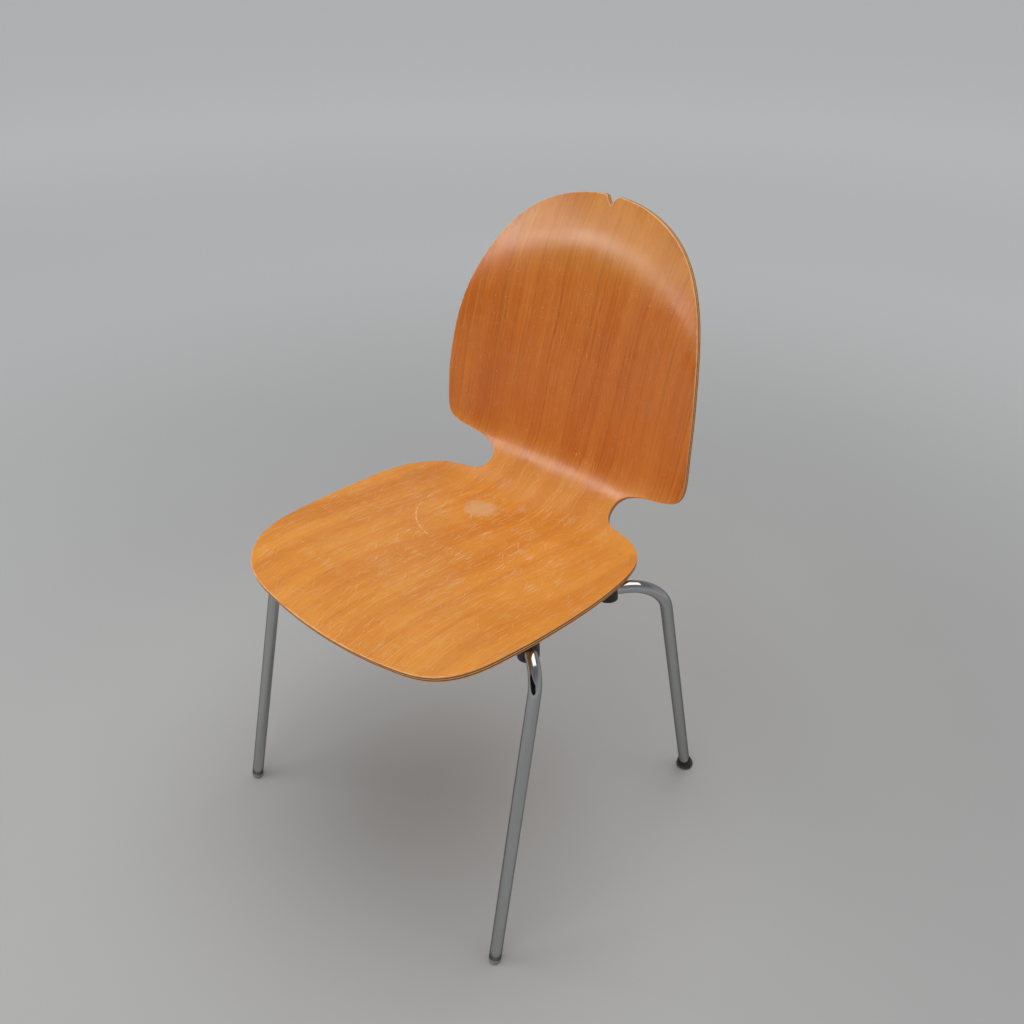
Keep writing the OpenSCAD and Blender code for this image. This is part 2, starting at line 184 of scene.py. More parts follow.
# The chip out of the top edge: how deep it is at places across, from lip to lip
CHIP_ACROSS = [-7, -2.5, 1.5, 7.6, 12.5, 16.5]
CHIP_DEPTH = [0, 1.0, 6.5, 13.2, 4.2, 0]
CHIP_REACH = 42


def cut_chip(x, s):
    """Pulls the top edge down into the chip, fading out below it."""
    ragged = np.sin(x * 2.9) * 0.35 + np.sin(x * 6.1 + 1) * 0.2
    depth = np.interp(x, CHIP_ACROSS, CHIP_DEPTH)
    depth = np.where(depth > 1, depth + ragged, depth)
    t = np.clip((s - SHEET_LEN + CHIP_REACH) / (CHIP_REACH - 1), 0, 1)
    return s - depth * t * t * (3 - 2 * t)


# ---- Mesh helpers ----

CORNER_SIGNS = ((-1, -1), (1, -1), (1, 1), (-1, 1))


def linked(name, data):
    """A new object in the scene."""
    item = bpy.data.objects.new(name, data)
    bpy.context.scene.collection.objects.link(item)
    return item


def make_piece(name, points, faces, material, replaces=(), attributes=None):
    """A smooth mesh piece from points in millimetres, riding on the chair's one body."""
    mesh = bpy.data.meshes.new(name)
    mesh.from_pydata((np.asarray(points) * MM).tolist(), [], faces)
    mesh.update()
    for key, values in (attributes or {}).items():
        values = np.asarray(values, np.float32)
        kind, field = ("FLOAT_VECTOR", "vector") if values.ndim == 2 else ("FLOAT", "value")
        mesh.attributes.new(key, kind, "POINT").data.foreach_set(field, values.ravel())
    return finish_piece(name, mesh, material, replaces)


def finish_piece(name, mesh, material, replaces=()):
    mesh.materials.clear()
    mesh.materials.append(material)
    mesh.polygons.foreach_set("use_smooth", [True] * len(mesh.polygons))
    piece = linked(name, mesh)
    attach(piece, "root")
    if replaces:
        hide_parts(*replaces)
    return piece


def sharpen(piece, degrees):
    """Marks the edges that turn by more than this as sharp."""
    mesh = bmesh.new()
    mesh.from_mesh(piece.data)
    for edge in mesh.edges:
        if len(edge.link_faces) == 2 and edge.calc_face_angle() > math.radians(degrees):
            edge.smooth = False
    mesh.to_mesh(piece.data)
    mesh.free()
    return piece


def tube_faces(rings, sides, closed_ends=True, start=0, looped=False):
    """Quads between rings of points, and a face over each end."""
    faces = []
    for k in range(rings if looped else rings - 1):
        a, b = start + k * sides, start + (k + 1) % rings * sides
        for f in range(sides):
            g = (f + 1) % sides
            faces.append((a + f, a + g, b + g, b + f))
    if closed_ends and not looped:
        faces.append(tuple(start + f for f in reversed(range(sides))))
        faces.append(tuple(start + (rings - 1) * sides + f for f in range(sides)))
    return faces


def axes_for(direction):
    """Two directions square to the given one and to each other."""
    direction = unit(direction)
    helper = [1, 0, 0] if abs(direction[0]) < 0.9 else [0, 1, 0]
    side = unit(np.cross(helper, direction))
    return np.cross(side, direction), side, direction


def lathe(profile, origin, direction, sides=64, floor=None):
    """A closed solid turned from (radius, height) points that start and end on the axis."""
    ex, ey, ez = axes_for(direction)
    angles = np.linspace(0, 2 * math.pi, sides, endpoint=False)
    ring = np.cos(angles)[:, None] * ex + np.sin(angles)[:, None] * ey
    points = np.vstack([origin + r * ring + h * ez for r, h in profile[1:-1]])
    ends = np.array([origin + profile[0][1] * ez, origin + profile[-1][1] * ez])
    count = len(profile) - 2
    faces = tube_faces(count, sides, closed_ends=False)
    low, high = count * sides, count * sides + 1
    for f in range(sides):
        g = (f + 1) % sides
        faces.append((low, g, f))
        faces.append((high, (count - 1) * sides + f, (count - 1) * sides + g))
    points = np.vstack([points, ends])
    if floor is not None:
        points[:, 2] = np.maximum(points[:, 2], floor)
    return points, faces


def rounded(profile, radius, steps=5):
    """The same profile with its inner corners rounded."""
    done = [profile[0]]
    for before, corner, after in zip(profile, profile[1:], profile[2:]):
        a, c, b = (np.array(p, float) for p in (before, corner, after))
        cut = min(radius, np.linalg.norm(a - c) * 0.45, np.linalg.norm(b - c) * 0.45)
        start, end = c + unit(a - c) * cut, c + unit(b - c) * cut
        for t in np.linspace(0, 1, steps):
            done.append(tuple((1 - t)**2 * start + 2 * t * (1 - t) * c + t**2 * end))
    return done + [profile[-1]]


def join(parts):
    """Several (points, faces) as one."""
    points, faces, count = [], [], 0
    for part_points, part_faces in parts:
        points.append(np.asarray(part_points))
        faces += [tuple(i + count for i in face) for face in part_faces]
        count += len(part_points)
    return np.vstack(points), faces


def cut(body, *tools):
    """The mesh of body less the tools, each as (points, faces) in millimetres."""
    objects = []
    for points, faces in (body, *tools):
        mesh = bpy.data.meshes.new("cut")
        mesh.from_pydata((np.asarray(points) * MM).tolist(), [], faces)
        objects.append(linked("cut", mesh))
    for tool in objects[1:]:
        modifier = objects[0].modifiers.new("cut", "BOOLEAN")
        modifier.object = tool
        modifier.operation = "DIFFERENCE"
        modifier.solver = "EXACT"
    graph = bpy.context.evaluated_depsgraph_get()
    result = bpy.data.meshes.new_from_object(objects[0].evaluated_get(graph))
    for item in objects:
        bpy.data.objects.remove(item)
    return result


# ---- The shell ----

ROWS = 248
COLUMNS = 96
FIRST_U = 0.6
LAST_U = len(HALF_OUTLINE) - 1 - 0.4
SMOOTH = 12
ARRIS_R = 1.0
CHIP_R = 0.25
WEAR_SCALE = 0.03
NICK_SCALE = 0.35
BLEND_CELLS = 4
CORNER_STEPS = 5
RIM_STEPS = 8
# The freshly broken part of the top edge, where the arris is sharp
BROKEN_X = (-6, 17)
BROKEN_DEPTH = 25


def shell_grid():
    """x and station of a grid of points whose border is the outline."""
    ends = rim(np.linspace(FIRST_U, LAST_U, ROWS + 1))
    front_s = rim(len(controls) - 0.5)[0, 1]
    top_s = rim(len(HALF_OUTLINE) - 0.5)[0, 1]
    mean = np.array([ends[max(0, j - SMOOTH):j + SMOOTH + 1, 1].mean()
                     for j in range(ROWS + 1)])
    j = np.arange(ROWS + 1)
    from_top = ROWS - j
    low = front_s + (mean[SMOOTH + 1] - front_s) * j / (SMOOTH + 1)
    high = top_s - (top_s - mean[ROWS - SMOOTH - 1]) * from_top / (SMOOTH + 1)
    middle = np.where(j <= SMOOTH, low, np.where(from_top <= SMOOTH, high, mean))
    t = np.linspace(-1, 1, COLUMNS + 1)
    x = ends[:, :1] * t
    s = middle[:, None] + (ends[:, 1:] - middle[:, None]) * t**2
    return x, cut_chip(x, s)


def border_cells():
    """Grid cells round the border, as rows and columns, front edge first."""
    cells = [(0, i) for i in range(COLUMNS)]
    cells += [(j, COLUMNS) for j in range(ROWS)]
    cells += [(ROWS, i) for i in range(COLUMNS, 0, -1)]
    cells += [(j, 0) for j in range(ROWS, 0, -1)]
    return np.array(cells)


def worn_radius(place, seed):
    """Radius of the worn arris at a place of the rim."""
    x, s = place
    if s > SHEET_LEN - BROKEN_DEPTH and BROKEN_X[0] < x < BROKEN_X[1]:
        return CHIP_R
    soft = noise.noise(Vector((x * WEAR_SCALE, s * WEAR_SCALE, seed)))
    nick = noise.noise(Vector((x * NICK_SCALE, s * NICK_SCALE, seed + 7)))
    return ARRIS_R * (1 + 0.5 * soft) + 1.6 * max(0, nick - 0.45)


def shell():
    """The sheet: an upper and an under face on one grid, with a worn arris and rim between."""
    x, s = shell_grid()
    cells = border_cells()
    loop = np.stack([x[cells[:, 0], cells[:, 1]], s[cells[:, 0], cells[:, 1]]], -1)
    tangent = np.roll(loop, -1, 0) - np.roll(loop, 1, 0)
    tangent /= np.linalg.norm(tangent, axis=1)[:, None]
    inward = np.stack([-tangent[:, 1], tangent[:, 0]], -1)
    radii = [np.array([worn_radius(p, seed) for p in loop]) for seed in (1, 5)]
    faces_at = [pull_in(x, s, cells, inward * radius[:, None]) for radius in radii]
    points, places, rims, edges = [], [], [], []
    for (gx, gs), n in zip(faces_at, (0, -PLY)):
        points.append(sheet_point(gx.ravel(), gs.ravel(), n))
        places.append(np.stack([gx.ravel(), gs.ravel(), np.full(gx.size, float(n))], -1))
        rims.append(np.zeros(gx.size))
        edges.append(rim_distance(gx.ravel(), gs.ravel(), loop))
    rings = []
    for a in np.linspace(0, math.pi / 2, CORNER_STEPS + 1)[1:]:
        rings.append((radii[0] * (1 - math.sin(a)), -radii[0] * (1 - math.cos(a)), a))
    for f in np.linspace(0, 1, RIM_STEPS + 1)[1:-1]:
        depth = radii[0] + f * (PLY - radii[0] - radii[1])
        rings.append((0 * depth, -depth, math.pi / 2))
    for a in np.linspace(math.pi / 2, 0, CORNER_STEPS + 1)[:-1]:
        rings.append((radii[1] * (1 - math.sin(a)), radii[1] * (1 - math.cos(a)) - PLY, a))
    for inset, n, a in rings:
        ring = loop + inward * inset[:, None]
        points.append(sheet_point(ring[:, 0], ring[:, 1], n))
        places.append(np.stack([ring[:, 0], ring[:, 1], n], -1))
        rims.append(np.full(len(ring), math.sin(a)))
        edges.append(np.zeros(len(ring)))
    faces = shell_faces(cells, len(rings))
    return make_piece("shell", np.vstack(points), faces, veneer(),
                      ["seat_shell"], {"sheet_mm": np.vstack(places),
                                       "rim": np.concatenate(rims),
                                       "edge_mm": np.concatenate(edges)})


def pull_in(x, s, cells, shift):
    """The grid with its border shifted, and the cells next to it carried along."""
    total = np.zeros((*x.shape, 2))
    weight = np.zeros(x.shape)
    rows, columns = np.indices(x.shape)
    sides = [(cells[:, 0] == 0, rows, columns, True),
             (cells[:, 0] == ROWS, ROWS - rows, columns, True),
             (cells[:, 1] == 0, columns, rows, False),
             (cells[:, 1] == COLUMNS, COLUMNS - columns, rows, False)]
    for chosen, away, along, by_column in sides:
        order = np.argsort(cells[chosen, 1 if by_column else 0])
        own = shift[chosen][order]
        where = cells[chosen, 1 if by_column else 0][order]
        reach = np.clip(1 - away / BLEND_CELLS, 0, 1)
        for k in range(2):
            total[..., k] += reach * np.interp(along, where, own[:, k])
        weight += reach
    total /= np.maximum(weight, 1)[..., None]
    for (j, i), own in zip(cells, shift):
        total[j, i] = own
    return x + total[..., 0], s + total[..., 1]


def rim_distance(x, s, loop):
    """Distance of each place from the nearest point of the rim."""
    nearest = np.full(len(x), 1e9)
    for start in range(0, len(loop), 64):
        part = loop[start:start + 64]
        gap = np.hypot(x[:, None] - part[:, 0], s[:, None] - part[:, 1]).min(1)
        nearest = np.minimum(nearest, gap)
    return nearest


def shell_faces(cells, ring_count):
    """Quads of the upper face, the under face and the rings between them."""
    width, per_face, around = COLUMNS + 1, (ROWS + 1) * (COLUMNS + 1), len(cells)
    faces = []
    for j in range(ROWS):
        for i in range(COLUMNS):
            a = j * width + i
            faces.append((a, a + 1, a + width + 1, a + width))
            b = a + per_face
            faces.append((b, b + width, b + width + 1, b + 1))
    upper = cells[:, 0] * width + cells[:, 1]
    bands = [upper] + [2 * per_face + k * around + np.arange(around)
                       for k in range(ring_count)] + [upper + per_face]
    for above, below in zip(bands, bands[1:]):
        for k in range(around):
            g = (k + 1) % around
            faces.append((int(above[k]), int(below[k]), int(below[g]), int(above[g])))
    return faces


# ---- Where the bows run ----

FRONT_FOOT = np.array([241, 22 + front_y, 0])
FRONT_KNEE = np.array([226, 121 + front_y, 423])
FRONT_ELBOW_X = 94
REAR_FOOT = np.array([245, 465 + front_y, 0])
REAR_KNEE = np.array([240, 354 + front_y, 409.5])
REAR_ELBOW_X = 102
FRAME_MID_Y = 209 + front_y
TUBE_SIDE = (TUBE_D + TUBE_GAP) / 2
TUBE_DROP = BLOCK_T + PLATE_SIZE[2] + 3 * WELD_GAP + TUBE_D / 2
FRONT_PAD_WAY = 37
REAR_PAD_WAY = 71

plate_station = station_at(0, FRAME_MID_Y, -PLY)
plate_tilt = float(slope(plate_station))
plate_origin = sheet_point(0, plate_station, -PLY)
plate_up = np.array([0, -math.sin(plate_tilt), math.cos(plate_tilt)])
plate_back = np.array([0, math.cos(plate_tilt), math.sin(plate_tilt)])


def under_seat(x, y, n):
    """A point in the seat plate's own frame: the shell's under face is at n = 0."""
    return plate_origin + np.array([x, 0, 0]) + y * plate_back + n * plate_up


front_elbow = under_seat(FRONT_ELBOW_X, -TUBE_SIDE, -TUBE_DROP)
rear_elbow = under_seat(REAR_ELBOW_X, TUBE_SIDE, -TUBE_DROP)
front_arm = (FRONT_FOOT, FRONT_KNEE, front_elbow)
rear_arm = (REAR_FOOT, REAR_KNEE, rear_elbow)


def mirrored(p):
    return np.asarray(p) * [-1, 1, 1]


def toward(p, q, d):
    return p + d * unit(q - p)


def bow(foot, knee, elbow, lift):
    half = [toward(foot, knee, lift), knee, elbow]
    return half + [mirrored(p) for p in reversed(half)]


# ---- Chromed bows ----

TUBE_SIDES = 56
BEND_STEP = math.radians(3)
STRAIGHT_STEP = 12
BEND_FLATTENING = 0.035


def rod_stations(path, radii):
    """[point, heading, inward, flattening] along a path whose corners are bent."""
    stations = []
    done = path[0]
    for i in range(1, len(path)):
        heading = unit(path[i] - path[i - 1])
        last = i == len(path) - 1
        after = heading if last else unit(path[i + 1] - path[i])
        turn = math.acos(min(1, float(heading @ after)))
        tangent = 0 if last else radii[i] * math.tan(turn / 2)
        end = path[i] - tangent * heading
        steps = max(2, round(np.linalg.norm(end - done) / STRAIGHT_STEP))
        for t in np.linspace(0, 1, steps, endpoint=False):
            stations.append((done + (end - done) * t, heading, heading * 0, 0))
        if last:
            stations.append((end, heading, heading * 0, 0))
            return stations
        inward = unit(after - (after @ heading) * heading)
        centre = end + radii[i] * inward
        bends = math.ceil(turn / BEND_STEP)
        for a in np.linspace(0, turn, bends, endpoint=False):
            out = math.cos(a) * inward - math.sin(a) * heading
            way = math.cos(a) * heading + math.sin(a) * inward
            flat = BEND_FLATTENING * math.sin(math.pi * a / turn)**0.8
            stations.append((centre - radii[i] * out, way, out, flat))
        done = centre - radii[i] * (math.cos(turn) * inward - math.sin(turn) * heading)


def swept(stations, radius, sides=TUBE_SIDES):
    """Points of rings along the stations, carried along without twist."""
    side = axes_for(stations[0][1])[1]
    angles = np.linspace(0, 2 * math.pi, sides, endpoint=False)
    rings = []
    for point, heading, inward, flat in stations:
        side = unit(side - (side @ heading) * heading)
        other = np.cross(heading, side)
        ring = np.cos(angles)[:, None] * side + np.sin(angles)[:, None] * other
        ring = ring - flat * (ring @ inward)[:, None] * inward
        rings.append(point + radius * ring)
    return np.vstack(rings)


def bow_tube(name, node, path, knee_r, metal):
    """A hollow bent tube: outer skin, bore, and a ring face at each cut end."""
    stations = rod_stations(path, [0, knee_r, ELBOW_R, ELBOW_R, knee_r, 0])
    outer = swept(stations, TUBE_D / 2)
    bore = swept(stations, TUBE_D / 2 - TUBE_WALL)
    count = len(stations)
    faces = tube_faces(count, TUBE_SIDES, closed_ends=False)
    faces += [tuple(reversed(f)) for f in
              tube_faces(count, TUBE_SIDES, closed_ends=False, start=len(outer))]
    last = (count - 1) * TUBE_SIDES
    for f in range(TUBE_SIDES):
        g = (f + 1) % TUBE_SIDES
        low, high = len(outer), last + len(outer)
        faces.append((g, f, low + f, low + g))
        faces.append((last + f, last + g, high + g, high + f))
    along = np.concatenate([[0], np.cumsum([np.linalg.norm(b[0] - a[0]) for a, b in
                                            zip(stations, stations[1:])])])
    run = np.repeat(along, TUBE_SIDES)
    around = np.tile(np.linspace(0, 1, TUBE_SIDES, endpoint=False), count)
    wave = np.stack([np.cos(around * 2 * math.pi), np.sin(around * 2 * math.pi), run], -1)
    return make_piece(name, np.vstack([outer, bore]), faces, metal, [node],
                      {"tube_place": np.vstack([wave, wave])})


# ---- Pads and feet ----

# The CAD node that each foot piece stands for
FOOT_NODES = {"plug_left": "foot_front_left", "plug_right": "foot_front_right",
              "boot_left": "foot_rear_left", "boot_right": "foot_rear_right"}


def pad_place(knee, elbow, way):
    """The pad's point on the tube's axis, its direction up to the shell, and its height."""
    point = toward(knee, elbow, way)
    s = station_at(point[0], point[1], -PLY)
    up = sheet_normal(point[0], s)
    return point, up, float((sheet_point(point[0], s, -PLY) - point) @ up)


def pad(name, foot, knee, elbow, knee_r, way, plastic):
    """A round saddle snapped over the tube with two cheeks, its edges softened by the mould."""
    point, up, height = pad_place(knee, elbow, way)
    top = height - FIT_GAP
    low = TUBE_D / 2 + PAD_CHEEK
    profile = rounded([(0, -low), (PAD_D / 2 - 1, -low), (PAD_D / 2, 3 - low),
                       (PAD_D / 2, top - 2), (PAD_D / 2 - 0.4, top), (0, top)], 1.6)
    rod = rod_stations([foot, knee, elbow], [0, knee_r, 0])
    channel = (swept(rod, TUBE_D / 2 + FIT_GAP), tube_faces(len(rod), TUBE_SIDES))
    side = unit(np.cross(elbow - knee, up)) * PAD_MOUTH / 2
    run = unit(np.cross(up, side)) * PAD_D
    corners = [point + h * up + a * side + b * run for h in (-low - 1, -2)
               for a, b in CORNER_SIGNS]
    mouth = (np.array(corners), tube_faces(2, 4))
    mesh = cut(lathe(profile, point, up, 72), channel, mouth)
    node = "seat_" + name
    return sharpen(finish_piece(name, mesh, plastic, [node]), 40)


def plug(name, foot, knee, plastic):
    """A grey plug: a stem in the tube, a thin flange, and a worn foot as wide as the tube."""
    wide, stem = TUBE_D / 2, TUBE_D / 2 - TUBE_WALL - FIT_GAP
    top = PLUG_H - FIT_GAP
    tip = top + PLUG_STEM
    profile = rounded([(0, -1), (wide - 3, -1), (wide - 1, 0.2), (wide, 2.2), (wide, top),
                       (stem, top), (stem, tip - 2), (stem - 1.5, tip), (0, tip)], 1.1)
    points, faces = lathe(profile, foot, knee - foot, 56, floor=0)
    piece = make_piece(name, points, faces, plastic, [FOOT_NODES[name]])
    return sharpen(piece, 50)


def boot(name, foot, knee, rubber):
    """A black boot that flares to the floor, with a lip round the tube and a socket."""
    top, wide, socket = TUBE_D / 2 + BOOT_WALL, BOOT_D / 2, TUBE_D / 2 + FIT_GAP
    seat = BOOT_LIFT - FIT_GAP
    profile = rounded([(0, -3), (wide - 3, -3), (wide - 0.8, -1), (wide, 1.5), (wide - 0.2, 4.5),
                       (wide - 1.2, 7), (top + 0.8, BOOT_H - 2.4), (top, BOOT_H - 0.6),
                       (top - 0.6, BOOT_H), (socket, BOOT_H), (socket, seat), (0, seat)], 0.9)
    points, faces = lathe(profile, foot, knee - foot, 64, floor=0)
    piece = make_piece(name, points, faces, rubber, [FOOT_NODES[name]])
    return sharpen(piece, 60)


# ---- Seat hardware ----

def round_corners(w, l, r, steps=8, spacing=6):
    """The outline of a rectangle with round corners, with points along its long sides."""
    points = []
    for sx, sy, a0 in ((1, 1, 0), (-1, 1, 90), (-1, -1, 180), (1, -1, 270)):
        for a in np.radians(np.linspace(a0, a0 + 90, steps + 1)):
            points.append((sx * (w / 2 - r) + r * math.cos(a), sy * (l / 2 - r) + r * math.sin(a)))
    dense = []
    for p, q in zip(points, points[1:] + points[:1]):
        count = max(1, round(math.dist(p, q) / spacing))
        dense += [tuple(np.array(p) + (np.array(q) - p) * k / count) for k in range(count)]
    return np.array(dense)


def slab(outline, bottom, top, edge, lift=lambda x: 0 * x):
    """A flat part with eased edges and rows of faces on top and underneath."""
    inner = outline - edge * np.array([unit(p) for p in outline])
    levels = [(inner, bottom), (outline, bottom + edge), (outline, top - edge), (inner, top)]
    points, count = [], len(outline)
    for ring, z in levels:
        rise = lift(ring[:, 0]) if z > (bottom + top) / 2 else 0 * ring[:, 0]
        points += [under_seat(x, y, z + h) for (x, y), h in zip(ring, rise)]
    faces = tube_faces(4, count, closed_ends=False)
    half = count // 2
    order = np.argsort(outline[:, 0])
    upper = [i for i in order if outline[i, 1] > 0]
    lower = [i for i in order if outline[i, 1] <= 0]
    for base, flip in ((3 * count, False), (0, True)):
        for k in range(half - 1):
            quad = (lower[k], lower[k + 1], upper[k + 1], upper[k])
            quad = tuple(base + int(i) for i in (reversed(quad) if flip else quad))
            faces.append(quad)
    return np.array(points), faces


def screw_places():
    return [(sx * SCREW_SPAN[0] / 2, sy * SCREW_SPAN[1] / 2) for sx in (-1, 1) for sy in (-1, 1)]


def drill(x, y, diameter, low, high):
    profile = [(0, low), (diameter / 2, low), (diameter / 2, high), (0, high)]
    return lathe(profile, under_seat(x, y, 0), plate_up, 40)


BLOCK_UNDER = -BLOCK_T - WELD_GAP
PLATE_TOP = BLOCK_UNDER - WELD_GAP
PLATE_UNDER = PLATE_TOP - PLATE_SIZE[2]


def seat_plate(metal):
    outline = round_corners(PLATE_SIZE[0], PLATE_SIZE[1], PLATE_CORNER_R)
    body = slab(outline, PLATE_UNDER, PLATE_TOP, 0.5)
    holes = [drill(x, y, SCREW_HOLE_D, PLATE_UNDER - 1, PLATE_TOP + 1) for x, y in screw_places()]
    mesh = cut(body, *holes)
    return sharpen(finish_piece("plate", mesh, metal, ["seat_plate"]), 25)


def mounting_block(wood):
    """The plywood block, its upper face shaped to the shell's dish."""
    outline = round_corners(PLATE_SIZE[0] + BLOCK_MARGIN[0], PLATE_SIZE[1] + BLOCK_MARGIN[1],
                            PLATE_CORNER_R)
    body = slab(outline, BLOCK_UNDER, -WELD_GAP, 0.6, lambda x: x * x / (2 * SEAT_DISH))
    holes = [drill(x, y, INSERT_HOLE_D, BLOCK_UNDER - 1, 4) for x, y in screw_places()]
    mesh = cut(body, *holes)
    return sharpen(finish_piece("block", mesh, wood, ["mounting_block"]), 25)


def screws(zinc):
    """Pan head screws with a hexagonal socket, each turned a little differently."""
    turns = random.Random(4)
    seat = PLATE_UNDER - WASHER_T - 2 * WELD_GAP
    low, tip, thread = seat - HEAD_H, seat + SCREW_LEN, SCREW_D / 2
    profile = rounded([(0, low), (3.2, low), (4.4, low + 0.5), (5.1, low + 1.4), (5.3, low + 2.4),
                       (5.3, seat), (thread, seat), (thread, tip), (thread - 0.6, tip + 0.5),
                       (0, tip + 0.5)], 0.5, 4)
    ex, ey, ez = axes_for(plate_up)
    bodies, sockets = [], []
    for x, y in screw_places():
        at = under_seat(x, y, 0)
        bodies.append(lathe(profile, at, plate_up, 48))
        angles = np.radians(turns.uniform(0, 60) + np.arange(6) * 60)
        ring = 2 * (np.cos(angles)[:, None] * ex + np.sin(angles)[:, None] * ey)
        ends = [at + ring + h * ez for h in (low - 1, low + SOCKET_DEPTH)]
        sockets.append((np.vstack(ends), tube_faces(2, 6)))
    mesh = cut(join(bodies), join(sockets))
    return sharpen(finish_piece("screws", mesh, zinc, ["frame_screws"]), 30)


def washers(zinc):
    """Split rings whose ends stand apart, one under each screw head."""
    inner, outer, rise, gap = SCREW_D / 2 + 0.2, 5.5, 0.3, math.radians(8)
    thick, steps, corner = WASHER_T - rise, 72, 0.15
    low = PLATE_UNDER - WASHER_T - WELD_GAP
    section = [(inner, corner), (inner + corner, 0), (outer - corner, 0), (outer, corner),
               (outer, thick - corner), (outer - corner, thick), (inner + corner, thick),
               (inner, thick - corner)]
    parts = []
    for number, (x, y) in enumerate(screw_places()):
        at = under_seat(x, y, low)
        ex, ey, ez = axes_for(plate_up)
        points = []
        for k in range(steps + 1):
            a = gap / 2 + (2 * math.pi - gap) * k / steps
            way = math.cos(a + number) * ex + math.sin(a + number) * ey
            points += [at + r * way + (h + rise * k / steps) * ez for r, h in section]
        parts.append((np.array(points), tube_faces(steps + 1, len(section))))
    points, faces = join(parts)
    piece = make_piece("washers", points, faces, zinc, ["spring_washers"])
    return sharpen(piece, 30)


def weld_beads(metal):
    """Rippled fillets between the plate and the outer sides of the two tubes."""
    sides, ripples, steps = 24, 15, 90
    corner = TUBE_SIDE + TUBE_D / 2 - 0.6
    level = PLATE_UNDER - WELD_GAP - 1.2
    angles = np.linspace(0, 2 * math.pi, sides, endpoint=False)
    parts = []
    for middle in WELD_PLACES:
        for side in (-1, 1):
            points = []
            for k in range(steps + 1):
                t = k / steps
                swell = 0.9 + 0.1 * (1 - (t * ripples % 1))**1.5
                taper = min(1, math.sqrt(max(0.02, min(t, 1 - t) * 9)))
                r = WELD_R * swell * taper - 0.1
                x = middle + (t - 0.5) * WELD_LEN
                for c, d in zip(np.cos(angles), np.sin(angles)):
                    points.append(under_seat(x + 0.5 * side * c, side * corner + r * c,
                                             level + r * d))
            parts.append((np.array(points), tube_faces(steps + 1, sides)))
    points, faces = join(parts)
    return make_piece("welds", points, faces, metal, ["weld_beads"])


# ---- Node helpers ----

class Tree:
    """A node tree, built by short calls that return output sockets."""

    def __init__(self, tree):
        self.tree = tree
        tree.nodes.clear()

    def put(self, socket, value):
        if isinstance(value, bpy.types.NodeSocket):
            self.tree.links.new(value, socket)
        elif isinstance(value, tuple) and len(value) == 3 and socket.type == "RGBA":
            socket.default_value = (*value, 1)
        else:
            socket.default_value = value

    def add(self, kind, values, **settings):
        node = self.tree.nodes.new("ShaderNode" + kind)
        for key, value in settings.items():
            setattr(node, key, value)
        for key, value in values.items():
            self.put(node.inputs[key], value)
        return node

    def math(self, operation, a, b=0.0, clamp=False):
        return self.add("Math", {0: a, 1: b}, operation=operation, use_clamp=clamp).outputs[0]

    def total(self, first, *rest):
        for value in rest:
            first = self.math("ADD", first, value)
        return first

    def product(self, first, *rest):
        for value in rest:
            first = self.math("MULTIPLY", first, value)
        return first

    def vector(self, x=0.0, y=0.0, z=0.0):
        return self.add("CombineXYZ", {0: x, 1: y, 2: z}).outputs[0]

    def attribute(self, name):
        return self.add("Attribute", {}, attribute_name=name)

    def noise(self, vector, detail=2.0, roughness=0.5, scale=1.0):
        return self.add("TexNoise", {"Vector": vector, "Scale": scale, "Detail": detail,
                                     "Roughness": roughness}).outputs[0]

    def stretched(self, x, s, wide, long, seed=0.0, **settings):
        """Noise with cells this wide across and this long along, in millimetres."""
        place = self.vector(self.math("DIVIDE", x, wide), self.math("DIVIDE", s, long), seed)
        return self.noise(place, **settings)

    def object_place(self):
        return self.add("TexCoord", {}).outputs["Object"]

    def split(self, vector):
        return self.add("SeparateXYZ", {0: vector}).outputs

    def span(self, value, low, high, to_low=0.0, to_high=1.0):
        """The value eased from low..high to to_low..to_high, and held outside."""
        return self.add("MapRange", {0: value, 1: low, 2: high, 3: to_low, 4: to_high},
                        interpolation_type="SMOOTHSTEP").outputs[0]

    def mix(self, factor, a, b, blend="MIX"):
        node = self.add("Mix", {0: factor, 6: a, 7: b}, data_type="RGBA", blend_type=blend)
        return node.outputs[2]

    def bump(self, height, distance, strength):
        values = {"Height": height, "Distance": distance, "Strength": strength}
        return self.add("Bump", values).outputs[0]


class Nodes(Tree):
    """A material's node tree, with the shader that its colour, roughness and normal go to."""

    def __init__(self, name, **constants):
        self.material = bpy.data.materials.new(name)
        self.material.use_nodes = True
        super().__init__(self.material.node_tree)
        self.shader = self.add("BsdfPrincipled", {})
        self.output = self.add("OutputMaterial", {})
        self.tree.links.new(self.shader.outputs[0], self.output.inputs["Surface"])
        self.use(**constants)

    def clear_behind(self):
        """Makes the surface invisible from its back."""
        back = self.add("NewGeometry", {}).outputs["Backfacing"]
        mixed = self.add("MixShader", {0: back, 1: self.shader.outputs[0],
                                       2: self.add("BsdfTransparent", {}).outputs[0]})
        self.tree.links.new(mixed.outputs[0], self.output.inputs["Surface"])

    def use(self, **sockets):
        for key, value in sockets.items():
            self.put(self.shader.inputs[key.replace("_", " ")], value)
        return self.material


# ---- Wood ----

# One veneer throughout: the seat's and the head's tones are painted light, the back's tone is
# painted shade
SEAT_HONEY_LIT = (0.80, 0.300, 0.043)
BACK_AMBER_SHADED = (0.66, 0.185, 0.022)
HEAD_GOLD_LIT = (0.66, 0.232, 0.024)
DARK_GRAIN = (0.37, 0.098, 0.014)
RAW_WOOD = (0.80, 0.50, 0.26)
SCRATCH_PALE = (0.92, 0.66, 0.38)
# Scratches as [degrees from the grain, length, width, seed, share], in millimetres
SCRATCHES = [(0, 34, 1.5, 21, 0.275), (5, 52, 1.3, 22, 0.27),
             (-8, 30, 1.5, 23, 0.27), (21, 34, 1.3, 24, 0.245),
             (-36, 32, 1.3, 25, 0.24), (72, 26, 1.2, 26, 0.235)]
SCRATCH_BEND = 1.2
